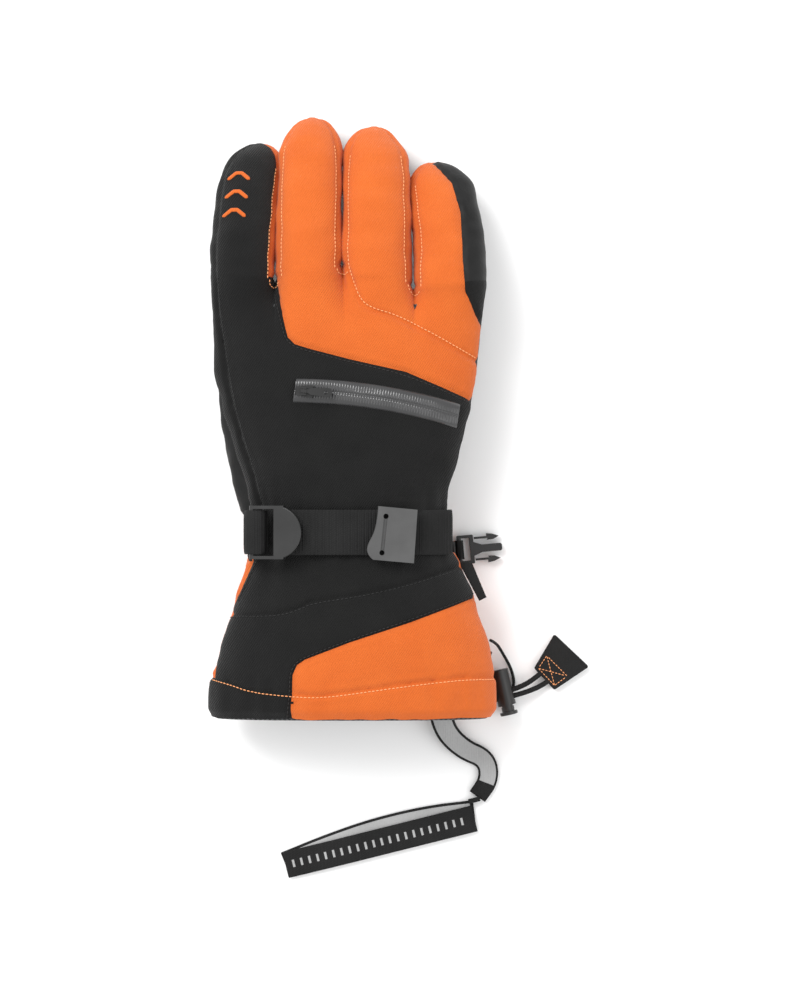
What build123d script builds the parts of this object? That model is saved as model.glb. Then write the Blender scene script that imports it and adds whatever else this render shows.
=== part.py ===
"""Insulated ski glove for the right hand, lying palm down with its thumb tucked under.

Millimetres. X runs across the hand towards the little finger, Y towards the fingertips and Z up
from the surface that the glove lies on. The origin is the middle of the flat patch that the
cuff's hem rests on.
"""

import os
from math import cos, radians, sin, tan

from build123d import *

os.makedirs("parts", exist_ok=True)

# ---------------------------------------------------------------- driving dimensions
SQUARENESS = 2.4  # exponent of the oval cross-sections: 2 is an ellipse
# Ways that the flat sides of an oval face, closest together on its long flanks
TOP_ANGLES = (30, 55, 73, 83, 90, 97, 107, 125, 150)
SIDE_ANGLES = (0, *TOP_ANGLES, 180, *(angle + 180 for angle in TOP_ANGLES))

SHELL = 1.4  # outer fabric
POCKET_IN, POCKET_OUT = 1.55, 2.25  # pocket cloth, under the outer fabric
WADDING_IN, WADDING_OUT = 2.5, 5.4
LINING_IN, LINING_OUT = 5.5, 6.2
SEAM_GAP = 0.15  # left between neighbouring panels

# Hand and cuff: (y, middle x, half width, bottom z, top z)
HEM_Y, FINGER_Y = -33.0, 188.0
HAND = [
    (HEM_Y, 1.0, 70.0, -0.4, 55.0),
    (-18, 0.5, 71.0, -0.4, 57.0),
    (2, 1.2, 68.0, -0.4, 57.5),
    (25, 2.0, 61.5, 5.0, 56.0),
    (45, 1.2, 51.2, 17.0, 54.0),
    (59, -0.2, 49.3, 20.0, 53.0),
    (80, -1.5, 50.5, 20.0, 53.5),
    (105, -0.8, 56.2, 20.0, 55.0),
    (135, -1.8, 63.8, 20.0, 56.0),
    (165, -0.8, 66.2, 20.0, 55.5),
    (FINGER_Y - 0.3, -1.2, 68.5, 20.0, 54.0),
]

# Fingers: (y, middle x, middle z, half width, half height), drooping to the surface at the tips
FINGER_SHELL, FINGER_LINER_IN, FINGER_LINER_OUT = 1.2, 1.35, 4.5
KNUCKLE_Z = 20.0  # height of the crease that the fingers bend about
FINGERS = {
    "index": [
        (FINGER_Y + 0.3, -53.0, 37.6, 15.4, 15.4),
        (220, -53.0, 29.5, 15.4, 14.6),
        (242, -50.0, 18.0, 12.5, 12.5),
        (253.5, -47.0, 10.5, 7.5, 7.5),
    ],
    "middle": [
        (FINGER_Y + 0.3, -20.5, 38.0, 16.4, 16.0),
        (225, -20.5, 29.5, 16.4, 15.0),
        (253, -20.3, 18.0, 14.0, 13.0),
        (266.5, -19.5, 10.5, 7.5, 7.5),
    ],
    "ring": [
        (FINGER_Y + 0.3, 13.5, 38.0, 17.0, 16.0),
        (225, 13.5, 29.5, 17.0, 15.0),
        (250, 13.0, 18.0, 14.5, 13.0),
        (262.5, 12.0, 10.5, 7.5, 7.5),
    ],
    "little": [
        (FINGER_Y + 0.3, 49.2, 37.6, 17.0, 15.4),
        (214, 49.6, 30.5, 17.2, 14.6),
        (234, 48.0, 18.5, 15.0, 12.5),
        (244.5, 45.5, 10.5, 8.0, 7.5),
    ],
}
FINGER_STRIP = 0.74  # share of a finger's half width that its back and palm strips cover

# Thumb, folded under the palm
THUMB_Y = 86.0
THUMB = [
    (THUMB_Y + 0.3, -43.5, 9.7, 16.5, 9.7),
    (120, -48.5, 9.7, 17.0, 9.7),
    (148, -50.5, 9.7, 16.0, 9.7),
    (166, -50.0, 9.0, 12.0, 9.0),
    (175, -49.0, 7.5, 6.5, 5.5),
]
THUMB_GUSSET = [
    (64, -41.0, 12.5, 9.0, 6.0),
    (74, -42.0, 10.6, 14.0, 8.6),
    (THUMB_Y - 0.3, -43.5, 9.7, 16.5, 9.7),
]
THUMB_HOLE_X, THUMB_HOLE_Y, THUMB_HOLE_R = -42.0, 77.0, 6.5

# Wrist strap and its lock
STRAP_Y, STRAP_WIDTH, WEB = 59.0, 22.5, 1.3
LOCK_TILT = 14.0
LOCK_WIDTH, LOCK_THICK, LOCK_LENGTH = 26.4, 2.4, 25.5
LOCK_BAR_X, LOCK_BAR_Z, LOCK_BAR_R = -48.2, 55.2, 1.2
GRIP_X, GRIP_Z, GRIP_R, FOLD_R = 14.5, -3.6, 0.8, 1.0
TAB_X, TAB_Z, TAB_TILT, TAB_THICK = 21.2, 58.7, -5.5, 2.6

# Zip across the back of the hand
ZIP_START, ZIP_END = (-27.0, 129.0), (54.0, 116.5)
ZIP_SAG, ZIP_TAPE_WIDTH, ZIP_COIL_WIDTH = 3.0, 12.0, 3.4
SLIDER_X, SLIDER_Y, SLIDER_Z = -22.0, 128.6, 58.9

# Side-release buckle on a web loop at the wrist
BUCKLE_X, BUCKLE_Y, BUCKLE_Z, BUCKLE_TURN = 55.2, 49.6, 2.5, 5.0
BUCKLE_WIDTH, BUCKLE_THICK, BUCKLE_BAR_R = 14.6, 3.2, 1.1
BUCKLE_WEB_WIDTH = 9.6

# Drawcord, cord lock and end tab
CORD_D, CORD_SPREAD = 2.6, 1.55
LOCK_AT, CORD_TURN = (78.0, -23.5, 6.4), 13.1
BARREL_R, BARREL_BORE_R, BARREL_BACK, BARREL_FRONT = 4.6, 3.4, 13.0, 5.4
PLUNGER_R, PLUNGER_HEAD_R, PLUNGER_OUT, PLUNGER_TRAVEL = 3.2, 4.5, 10.2, 3.0
TAB_END = [(93.0, -10.3), (103.2, -21.3), (120.8, -9.5), (103.3, 7.1)]
TAB_END_THICK = 2.8

# Wrist leash
LEAD_D = 3.2  # the round stand-in for a band 13 wide and 1.2 thick
LOOP_LENGTH, LOOP_WIDTH, LOOP_THICK = 99.0, 16.0, 3.2


# ---------------------------------------------------------------- shared shapes
def section(y, x, z, half_width, half_height, inset):
    """Corners of a flat-sided oval square to Y, with every side moved in by inset.

    Its sides always face the same ways, so two such ovals join by flat faces.
    """
    power = SQUARENESS / (SQUARENESS - 1)
    turns = [radians(angle) for angle in SIDE_ANGLES]
    reach = [
        (abs(half_width * cos(t)) ** power + abs(half_height * sin(t)) ** power) ** (1 / power)
        - inset
        for t in turns
    ]
    corners = []
    for i, turn in enumerate(turns):
        after = (i + 1) % len(turns)
        spread = sin(turns[after] - turn)
        across = (reach[i] * sin(turns[after]) - reach[after] * sin(turn)) / spread
        up = (reach[after] * cos(turn) - reach[i] * cos(turns[after])) / spread
        corners.append((x + across, y, z + up))
    return corners


def beyond(near, far, distance):
    """The station that a straight taper from far to near reaches, distance past near."""
    share = distance / abs(near[0] - far[0])
    return tuple(n + (n - f) * share for n, f in zip(near, far))


def tube(stations, inset=0.0, over=0.0, tip=0.0):
    """A solid through (y, x, z, half width, half height) stations, shrunk by inset.

    over lengthens it past its first station and tip past its last one.
    """
    ends = [beyond(stations[0], stations[1], over)]
    ends += [*stations[1:-1], beyond(stations[-1], stations[-2], tip)]
    rings = [section(*station, inset) for station in ends]
    faces = [Face(Wire.make_polygon(rings[0])), Face(Wire.make_polygon(rings[-1]))]
    for ring, following in zip(rings, rings[1:]):
        for i in range(len(ring)):
            j = (i + 1) % len(ring)
            faces.append(
                Face(Wire.make_polygon([ring[i], ring[j], following[j], following[i]]))
            )
    return Solid(Shell(faces))


def hand(inset=0.0, over=0.0):
    """The hand and cuff as one solid, shrunk by inset; open ends run over past the real ones."""
    stations = [
        (y, x, (low + high) / 2, a, (high - low) / 2) for y, x, a, low, high in HAND
    ]
    return tube(stations, inset, over, over)


def layer(outer, inner):
    """One layer of the hand's wall, open at the cuff and at the fingers."""
    with BuildPart() as wall:
        add(hand(outer))
        add(hand(inner, over=2), mode=Mode.SUBTRACT)
    return wall.part


def prism(points, low=-5.0, high=75.0):
    """A vertical prism over a plan outline."""
    with BuildPart() as block:
        with BuildSketch(Plane.XY.offset(low)):
            with BuildLine():
                Polyline(*points, close=True)
            make_face()
        extrude(amount=high - low)
    return block.part


def half_space(points, upper):
    """A block above or below a side seam that runs through (y, z) points."""
    edge = 110.0 if upper else -60.0
    outline = [*points, (points[-1][0], edge), (points[0][0], edge)]
    with BuildPart() as block:
        with BuildSketch(Plane(origin=(-90, 0, 0), x_dir=(0, 1, 0), z_dir=(1, 0, 0))):
            with BuildLine():
                Polyline(*outline, close=True)
            make_face()
        extrude(amount=180)
    return block.part


def cord(points, diameter):
    """A round cord along straight runs, with arcs as large as the runs allow."""
    corners = [Vector(*p) for p in points]
    radii = []
    for before, at, after in zip(corners, corners[1:], corners[2:]):
        run_in, run_out = at - before, after - at
        turn = radians(run_in.get_angle(run_out))
        radii.append(0.45 * min(run_in.length, run_out.length) / tan(turn / 2))
    print("cord radii", [round(r, 1) for r in radii])
    with BuildPart() as body:
        with BuildLine() as route:
            FilletPolyline(*points, radius=radii)
        with BuildSketch(Plane(origin=points[0], z_dir=route.line % 0)):
            Circle(diameter / 2)
        sweep()
    length = route.wires()[0].length
    share = body.part.volume / (length * 3.14159 * diameter**2 / 4)
    print(f"cord length {length:.1f}, volume over section times length {share:.3f}")
    return body.part


def save(part, label):
    """Names a finished piece and writes its file."""
    part.label = label
    export_step(part, f"parts/{label}.step")


# ---------------------------------------------------------------- panels of the hand and cuff
SIDE_SEAM = [(HEM_Y - 9, 30.0), (0, 31.0), (45, 37.0), (FINGER_Y + 9, 38.0)]
above_seam = half_space([(y, z + SEAM_GAP / 2) for y, z in SIDE_SEAM], upper=True)
below_seam = half_space([(y, z - SEAM_GAP / 2) for y, z in SIDE_SEAM], upper=False)

# Plan outlines of the coloured panels on the back, from the seams inwards
HEM_TOP = [(-90, -17.0), (-30, -20.5), (20, -18.0), (90, -15.0)]
CUFF_TOP = [(-90, 21.0), (-28, 22.5), (10, 33.5), (90, 42.0)]
KNUCKLE_LEFT = [(-37.3, 200.0), (-37.3, 186.0), (-33.0, 165.0), (-27.0, 153.5)]
KNUCKLE_LOW = [(-22.0, 151.5), (57.0, 128.5), (90.0, 119.0)]
CUFF_COLOUR = [(-29.5, -45.0), (-29.5, -12.0), (-25.5, -4.5), (-2.5, 5.0), (90.0, 34.5)]


def between(low_line, high_line):
    """A prism between two seams that run across the glove."""
    return prism([*low_line, *reversed(high_line)])


def shifted(line, dy):
    return [(x, y + dy) for x, y in line]


shell = layer(0.0, SHELL)
knuckle_area = prism([*KNUCKLE_LEFT, *KNUCKLE_LOW, (90.0, 200.0)])
knuckle_keep_out = prism(
    [
        *[(x - SEAM_GAP, y - SEAM_GAP) for x, y in KNUCKLE_LEFT],
        *shifted(KNUCKLE_LOW, -SEAM_GAP),
        (95.0, 200.0),
    ]
)
cuff_colour_area = prism([*CUFF_COLOUR, (90.0, -45.0)])
cuff_colour_keep_out = prism(
    [*[(x - SEAM_GAP, y + SEAM_GAP) for x, y in CUFF_COLOUR], (95.0, -45.0)]
)
hem_area = prism([(-90, HEM_Y - 9), (90, HEM_Y - 9), *reversed(HEM_TOP)])
hand_end = [(-90, FINGER_Y + 5), (90, FINGER_Y + 5)]

with BuildPart() as back_panel:
    add(shell)
    add(above_seam, mode=Mode.INTERSECT)
    add(between(CUFF_TOP, hand_end), mode=Mode.INTERSECT)
    add(knuckle_keep_out, mode=Mode.SUBTRACT)
save(back_panel.part, "back_panel")

with BuildPart() as knuckle_panel:
    add(shell)
    add(above_seam, mode=Mode.INTERSECT)
    add(knuckle_area, mode=Mode.INTERSECT)
save(knuckle_panel.part, "knuckle_panel")

with BuildPart() as cuff_back_panel:
    add(shell)
    add(above_seam, mode=Mode.INTERSECT)
    add(between(shifted(HEM_TOP, SEAM_GAP), shifted(CUFF_TOP, -SEAM_GAP)), mode=Mode.INTERSECT)
    add(cuff_colour_keep_out, mode=Mode.SUBTRACT)
save(cuff_back_panel.part, "cuff_back_panel")

with BuildPart() as cuff_colour_panel:
    add(shell)
    add(above_seam, mode=Mode.INTERSECT)
    add(between(shifted(HEM_TOP, SEAM_GAP), shifted(CUFF_TOP, -SEAM_GAP)), mode=Mode.INTERSECT)
    add(cuff_colour_area, mode=Mode.INTERSECT)
save(cuff_colour_panel.part, "cuff_colour_panel")

# The casing round the hem is black up to the colour panel's edge, and coloured from there on
HEM_COLOUR_X = -28.4
for name, edge_x, kept in (
    ("hem_casing", HEM_COLOUR_X - SEAM_GAP, Keep.BOTTOM),
    ("hem_casing_colour", HEM_COLOUR_X + SEAM_GAP, Keep.TOP),
):
    with BuildPart() as hem_casing:
        add(shell)
        add(hem_area, mode=Mode.INTERSECT)
        split(bisect_by=Plane.XY, keep=Keep.TOP)
        split(bisect_by=Plane(origin=(edge_x, 0, 0), z_dir=(1, 0, 0)), keep=kept)
    save(hem_casing.part, name)

PALM_CUFF_TOP = [(-90, 50.0), (90, 50.0)]
with BuildPart() as cuff_palm_panel:
    add(shell)
    add(below_seam, mode=Mode.INTERSECT)
    add(between(shifted(HEM_TOP, SEAM_GAP), PALM_CUFF_TOP), mode=Mode.INTERSECT)
    split(bisect_by=Plane.XY, keep=Keep.TOP)
save(cuff_palm_panel.part, "cuff_palm_panel")

with BuildPart() as palm_panel:
    add(shell)
    add(below_seam, mode=Mode.INTERSECT)
    add(between(shifted(PALM_CUFF_TOP, SEAM_GAP), hand_end), mode=Mode.INTERSECT)
    with Locations((THUMB_HOLE_X, THUMB_HOLE_Y, 20)):
        Cylinder(THUMB_HOLE_R, 30, mode=Mode.SUBTRACT)
save(palm_panel.part, "palm_panel")

# The patch takes the wear under the palm, clear of the folded thumb
with BuildPart() as palm_patch:
    add(layer(-1.3, -0.15))
    add(below_seam, mode=Mode.INTERSECT)
    add(prism([(-22, 96), (44, 92), (56, 172), (-20, 178)], high=30.0), mode=Mode.INTERSECT)
save(palm_patch.part, "palm_patch")

with BuildPart() as wrist_elastic:
    add(layer(-1.2, -0.15))
    add(below_seam, mode=Mode.INTERSECT)
    add(prism([(-90, 50.5), (90, 50.5), (90, 61), (-90, 61)]), mode=Mode.INTERSECT)
save(wrist_elastic.part, "wrist_elastic")

# ---------------------------------------------------------------- inner layers
with BuildPart() as pocket_bag:
    add(layer(POCKET_IN, POCKET_OUT))
    add(above_seam, mode=Mode.INTERSECT)
    add(prism([(-32, 76), (44, 76), (50, 131), (-32, 136)]), mode=Mode.INTERSECT)
save(pocket_bag.part, "pocket_bag")

for name, outer, inner in (
    ("hand_wadding", WADDING_IN, WADDING_OUT),
    ("hand_lining", LINING_IN, LINING_OUT),
):
    with BuildPart() as wall:
        add(layer(outer, inner))
        with Locations((THUMB_HOLE_X, THUMB_HOLE_Y, 20)):
            Cylinder(THUMB_HOLE_R, 30, mode=Mode.SUBTRACT)
    save(wall.part, name)


# ---------------------------------------------------------------- fingers
def finger_layer(stations, outer, inner):
    """One layer of a finger's wall, open at its root and closed at its tip."""
    with BuildPart() as wall:
        add(tube(stations, outer, tip=-outer))
        add(tube(stations, inner, over=2, tip=-inner), mode=Mode.SUBTRACT)
    return wall.part


def finger_panels(name, stations):
    """Back strip, palm strip, two side walls and the liner of one finger."""
    wall = finger_layer(stations, 0.0, FINGER_SHELL)
    base, tip = stations[0], stations[-1]
    seam = [(s[0], s[2]) for s in stations]
    seam = [(base[0] - 5, base[2]), *seam[1:-1], (tip[0] + 5, tip[2] - 5)]
    half = base[3] * FINGER_STRIP
    strip = prism(
        [
            (base[1] - half, base[0] - 5),
            (base[1] + half, base[0] - 5),
            (base[1] + half, tip[0] + 5),
            (base[1] - half, tip[0] + 5),
        ]
    )
    middle = [(x + side * SEAM_GAP, y) for x, y, side in (
        (base[1] - half, base[0] - 5, -1),
        (base[1] + half, base[0] - 5, 1),
        (base[1] + half, tip[0] + 5, 1),
        (base[1] - half, tip[0] + 5, -1),
    )]
    for part_name, upper in ((f"{name}_back", True), (f"{name}_palm", False)):
        lift = SEAM_GAP / 2 if upper else -SEAM_GAP / 2
        with BuildPart() as panel:
            add(wall)
            add(strip, mode=Mode.INTERSECT)
            add(half_space([(y, z + lift) for y, z in seam], upper), mode=Mode.INTERSECT)
        save(panel.part, part_name)
    with BuildPart() as sides:
        add(wall)
        add(prism(middle), mode=Mode.SUBTRACT)
    save(sides.part, f"{name}_side_walls")
    save(finger_layer(stations, FINGER_LINER_IN, FINGER_LINER_OUT), f"{name}_liner")


for finger, stations in FINGERS.items():
    finger_panels(finger, stations)

# ---------------------------------------------------------------- thumb
THUMB_SEAM = [(40, 9.7), (200, 9.7)]
for name, upper in (("thumb_back", True), ("thumb_palm", False)):
    lift = SEAM_GAP / 2 if upper else -SEAM_GAP / 2
    with BuildPart() as panel:
        add(finger_layer(THUMB, 0.0, FINGER_SHELL))
        add(half_space([(y, z + lift) for y, z in THUMB_SEAM], upper), mode=Mode.INTERSECT)
    save(panel.part, name)
save(finger_layer(THUMB, FINGER_LINER_IN, 3.2), "thumb_liner")

with BuildPart() as thumb_gusset:
    add(tube(THUMB_GUSSET))
    add(tube(THUMB_GUSSET, FINGER_SHELL, over=-2 * FINGER_SHELL, tip=2), mode=Mode.SUBTRACT)
    with Locations((THUMB_HOLE_X, THUMB_HOLE_Y, 20)):
        Cylinder(THUMB_HOLE_R, 16, mode=Mode.SUBTRACT)
save(thumb_gusset.part, "thumb_gusset")

# ---------------------------------------------------------------- wrist strap
STRAP_LOW, STRAP_HIGH = STRAP_Y - STRAP_WIDTH / 2, STRAP_Y + STRAP_WIDTH / 2
side_view = Plane(origin=(0, STRAP_Y, 0), x_dir=(1, 0, 0), z_dir=(0, -1, 0))

with BuildPart() as strap_base:
    add(layer(-0.15 - WEB, -0.15))
    add(above_seam, mode=Mode.INTERSECT)
    add(
        prism([(-31.0, STRAP_LOW), (90, STRAP_LOW), (90, STRAP_HIGH), (-31.0, STRAP_HIGH)]),
        mode=Mode.INTERSECT,
    )
save(strap_base.part, "strap_base")

# The lock hangs on a bar in the web at the side of the wrist, and tilts up about it
lock_plane = Plane(
    origin=(LOCK_BAR_X, STRAP_Y, LOCK_BAR_Z),
    x_dir=(cos(radians(LOCK_TILT)), 0, sin(radians(LOCK_TILT))),
    z_dir=(-sin(radians(LOCK_TILT)), 0, cos(radians(LOCK_TILT))),
)
lock_bar_axis = Plane(origin=lock_plane.origin, x_dir=lock_plane.x_dir, z_dir=(0, 1, 0))
RAIL = 1.6
WINDOW_END = 11.5

with BuildPart() as strap_lock:
    with BuildSketch(lock_plane.offset(-LOCK_THICK / 2)):
        with Locations((LOCK_LENGTH / 2 - 5, 0)):
            Rectangle(LOCK_LENGTH - 8, LOCK_WIDTH)
        with Locations((LOCK_LENGTH - LOCK_WIDTH / 2, 0)):
            Circle(LOCK_WIDTH / 2)
        with Locations((0, 0)):
            Rectangle(60, LOCK_WIDTH + 10, align=(Align.MAX, Align.CENTER), mode=Mode.SUBTRACT)
        with Locations((WINDOW_END, 0)):
            Rectangle(
                WINDOW_END + 2,
                LOCK_WIDTH - 2 * RAIL,
                align=(Align.MAX, Align.CENTER),
                mode=Mode.SUBTRACT,
            )
    extrude(amount=LOCK_THICK)
    fillet(strap_lock.edges().group_by(Axis.Z)[-1], 0.5)
    for side in (-1, 1):
        lug_y = side * (LOCK_WIDTH - RAIL) / 2
        with BuildSketch(lock_plane.offset(-LOCK_THICK / 2)):
            with Locations((GRIP_X, lug_y)):
                Rectangle(3.2, RAIL)
        extrude(amount=GRIP_Z + LOCK_THICK / 2 - 1.2)
    with BuildSketch(lock_bar_axis.offset(-LOCK_WIDTH / 2)):
        Circle(LOCK_BAR_R)
        with Locations((GRIP_X, -GRIP_Z)):
            Circle(GRIP_R)
    extrude(amount=LOCK_WIDTH)
save(strap_lock.part, "strap_lock")

# The web turns back round the grip bar and comes out on top of itself
with BuildPart() as strap_fold:
    with BuildSketch(lock_bar_axis.offset(-STRAP_WIDTH / 2)):
        with BuildLine():
            fold = CenterArc((GRIP_X, -GRIP_Z), FOLD_R + 0.6, 90, 180)
            Line(fold @ 0, (GRIP_X + 1.4, -GRIP_Z + FOLD_R + 0.6))
            Line(fold @ 1, (GRIP_X + 1.4, -GRIP_Z - FOLD_R - 0.6))
        trace(line_width=1.1)
    extrude(amount=STRAP_WIDTH)
save(strap_fold.part, "strap_fold")

with BuildPart() as strap_anchor:
    with BuildSketch(side_view.offset(-STRAP_WIDTH / 2 + 0.4)):
        with BuildLine():
            arch = Spline(
                (-52.2, 39.0), (-52.0, 46.0), (-51.2, 55.0), (-48.4, 57.7), (-44.0, 57.6),
                (-41.6, 55.0), (-41.6, 53.4), (-40.4, 52.6),
            )
        trace(line_width=1.1)
    extrude(amount=STRAP_WIDTH - 0.8)
save(strap_anchor.part, "strap_anchor")

with BuildPart() as strap_tail:
    with BuildSketch(side_view.offset(-STRAP_WIDTH / 2)):
        with BuildLine():
            run = Spline((-31.2, 57.3), (-22.0, 56.6), (-8.0, 56.5), (6.0, 56.5), (26.0, 56.0))
        trace(line_width=1.15)
    extrude(amount=STRAP_WIDTH)
save(strap_tail.part, "strap_tail")

# Moulded pull tab, bar-tacked over the free end of the strap
tab_plane = Plane(
    origin=(TAB_X, STRAP_Y - 1.0, TAB_Z),
    x_dir=(cos(radians(TAB_TILT)), 0, sin(radians(TAB_TILT))),
    z_dir=(-sin(radians(TAB_TILT)), 0, cos(radians(TAB_TILT))),
)
with BuildPart() as pull_tab:
    with BuildSketch(tab_plane.offset(-TAB_THICK / 2)):
        with BuildLine():
            top = Line((-7.0, 14.0), (12.4, 12.2))
            right = Line(top @ 1, (10.6, -14.2))
            low = Line(right @ 1, (-9.5, -12.4))
            Spline(low @ 1, (-12.4, -6.5), (-9.6, 0.0), (-7.8, 6.5), top @ 0)
        make_face()
    extrude(amount=TAB_THICK)
    with BuildSketch(tab_plane.offset(TAB_THICK / 2)):
        with Locations((-4.2, 0.0)):
            SlotOverall(18.5, 1.8, rotation=84)
    extrude(amount=-0.9, mode=Mode.SUBTRACT)
    with BuildSketch(tab_plane.offset(TAB_THICK / 2)):
        with Locations((-3.2, 9.0), (-5.2, -9.0)):
            Circle(1.3)
    extrude(amount=-TAB_THICK, mode=Mode.SUBTRACT)
save(pull_tab.part, "pull_tab")


# ---------------------------------------------------------------- zip and pocket
def zip_band(low, high):
    """Plan outline of a band along the zip, between two offsets from its middle line."""
    (x0, y0), (x1, y1) = ZIP_START, ZIP_END
    middle = ((x0 + x1) / 2, (y0 + y1) / 2 + ZIP_SAG)
    with BuildPart() as band:
        with BuildSketch(Plane.XY.offset(40)):
            with BuildLine():
                lower = ThreePointArc((x0, y0 + low), (middle[0], middle[1] + low), (x1, y1 + low))
                upper = ThreePointArc(
                    (x0, y0 + high), (middle[0], middle[1] + high), (x1, y1 + high)
                )
                Line(lower @ 0, upper @ 0)
                Line(lower @ 1, upper @ 1)
            make_face()
        extrude(amount=30)
    return band.part


with BuildPart() as zip_tape:
    add(layer(-0.9, -0.15))
    add(zip_band(-ZIP_TAPE_WIDTH / 2, ZIP_TAPE_WIDTH / 2), mode=Mode.INTERSECT)
save(zip_tape.part, "zip_tape")

with BuildPart() as zip_coil:
    add(layer(-1.9, -1.05))
    add(zip_band(-ZIP_COIL_WIDTH / 2, ZIP_COIL_WIDTH / 2), mode=Mode.INTERSECT)
    add(zip_band(-0.12, 0.12), mode=Mode.SUBTRACT)
    split(bisect_by=Plane(origin=(ZIP_END[0] - 3.0, 0, 0), z_dir=(1, 0, 0)), keep=Keep.BOTTOM)
save(zip_coil.part, "zip_coil")

slider_plane = Plane(
    origin=(SLIDER_X, SLIDER_Y, SLIDER_Z),
    x_dir=(ZIP_END[0] - ZIP_START[0], 0.45 * (ZIP_END[1] - ZIP_START[1]), 0),
    z_dir=(0, 0, 1),
)
PIVOT_Z, PIVOT_R = 2.3, 0.45
with BuildPart() as zip_slider:
    with BuildSketch(slider_plane.offset(-0.7)):
        with BuildLine():
            Polyline((-4.2, -2.2), (4.0, -3.2), (4.6, 0), (4.0, 3.2), (-4.2, 2.2), close=True)
        make_face()
    extrude(amount=1.3)
    fillet(zip_slider.edges().filter_by(Axis.Z), 0.5)
    for side in (-1, 1):
        with BuildSketch(slider_plane.offset(0.5)):
            with Locations((-0.4, side * 1.5)):
                Rectangle(2.6, 0.8)
        extrude(amount=PIVOT_Z)
    with BuildSketch(
        Plane(
            origin=slider_plane.from_local_coords(Vector(-0.4, 1.9, PIVOT_Z)),
            x_dir=slider_plane.x_dir,
            z_dir=-slider_plane.y_dir,
        )
    ):
        Circle(PIVOT_R)
    extrude(amount=3.8)
save(zip_slider.part, "zip_slider")

with BuildPart() as zip_puller:
    with BuildSketch(slider_plane.offset(PIVOT_Z - 0.6)):
        with BuildLine():
            Polyline(
                (-1.9, -0.85), (2.0, -0.95), (3.2, -1.7), (12.0, -2.3), (13.4, -1.2),
                (13.4, 1.2), (12.0, 2.3), (3.2, 1.7), (2.0, 0.95), (-1.9, 0.85), close=True,
            )
        make_face()
        with Locations((-0.4, 0)):
            Rectangle(1.5, 5, mode=Mode.SUBTRACT)
        with Locations((10.4, 0)):
            Circle(1.0, mode=Mode.SUBTRACT)
    extrude(amount=1.2)
    for x in (-1.5, 0.7):
        with BuildSketch(slider_plane.offset(PIVOT_Z - 0.6)):
            with Locations((x, 0)):
                Rectangle(0.7, 1.7)
        extrude(amount=1.7)
    with BuildSketch(slider_plane.offset(PIVOT_Z + 0.6)):
        with Locations((-0.4, 0)):
            Rectangle(2.9, 1.7)
    extrude(amount=0.6)
save(zip_puller.part, "zip_puller")

with BuildPart() as zip_stop:
    add(layer(-2.0, -1.05))
    add(prism([(51.4, 114.6), (53.4, 114.2), (53.8, 119.6), (51.8, 120.0)], 42.0), mode=Mode.INTERSECT)
save(zip_stop.part, "zip_stop")

# ---------------------------------------------------------------- clip buckle
buckle_x_dir = (cos(radians(BUCKLE_TURN)), sin(radians(BUCKLE_TURN)), 0)
buckle_plane = Plane(
    origin=(BUCKLE_X, BUCKLE_Y, BUCKLE_Z), x_dir=buckle_x_dir, z_dir=(0, 0, 1)
)
buckle_bar_axis = Plane(
    origin=(BUCKLE_X, BUCKLE_Y, BUCKLE_Z),
    x_dir=buckle_x_dir,
    z_dir=(-sin(radians(BUCKLE_TURN)), cos(radians(BUCKLE_TURN)), 0),
)
CROSSBAR_X, PRONG_X, ARM_Y = 6.2, 8.4, 5.5
low_face = buckle_plane.offset(-BUCKLE_THICK / 2)
with BuildPart() as buckle_frame:
    with BuildSketch(low_face):
        with Locations((3.1, 0)):
            Rectangle(CROSSBAR_X + 2.2, BUCKLE_WIDTH)
        with Locations((1.6, 0)):
            Rectangle(CROSSBAR_X + 1.0, BUCKLE_WIDTH - 3.2, mode=Mode.SUBTRACT)
    extrude(amount=BUCKLE_THICK)
    fillet(buckle_frame.edges().filter_by(Axis.Z), 0.5)
    with BuildSketch(low_face):
        with BuildLine():
            Polyline(
                (7.0, -3.6), (11.5, -1.9), (21.0, -1.9), (21.6, -1.2),
                (21.6, 1.2), (21.0, 1.9), (11.5, 1.9), (7.0, 3.6), close=True,
            )
        make_face()
    extrude(amount=BUCKLE_THICK)
    with BuildSketch(buckle_bar_axis.offset(-BUCKLE_WIDTH / 2 + 0.4)):
        Circle(BUCKLE_BAR_R)
    extrude(amount=BUCKLE_WIDTH - 0.8)
save(buckle_frame.part, "buckle_frame")

# Each side arm springs in about its root, and its barbed head snaps into the other half
for name, side in (("buckle_prong_outer", 1), ("buckle_prong_inner", -1)):
    with BuildPart() as prong:
        with BuildSketch(buckle_plane.offset(-BUCKLE_THICK / 2 + 0.2)):
            with BuildLine():
                Polyline(
                    (PRONG_X - 0.75, side * (ARM_Y - 0.6)),
                    (14.6, side * (ARM_Y - 0.6)),
                    (14.2, side * (ARM_Y - 1.5)),
                    (17.5, side * (ARM_Y - 1.3)),
                    (20.4, side * (ARM_Y + 0.1)),
                    (17.0, side * (ARM_Y + 1.5)),
                    (14.0, side * (ARM_Y + 1.9)),
                    (14.0, side * (ARM_Y + 0.5)),
                    (PRONG_X - 0.75, side * (ARM_Y + 0.5)),
                    close=True,
                )
            make_face()
        extrude(amount=BUCKLE_THICK - 0.4)
    save(prong.part, name)

with BuildPart() as buckle_web:
    with BuildSketch(buckle_bar_axis.offset(-BUCKLE_WEB_WIDTH / 2)):
        with BuildLine():
            wrap = CenterArc((0, 0), BUCKLE_BAR_R + 0.65, -125, 205)
            Spline(wrap @ 1, (-2.6, -8.0), (-3.6, -24.0), tangents=(wrap % 1, (-0.1, -1)))
        trace(line_width=0.8)
    extrude(amount=BUCKLE_WEB_WIDTH)
save(buckle_web.part, "buckle_web")

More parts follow.
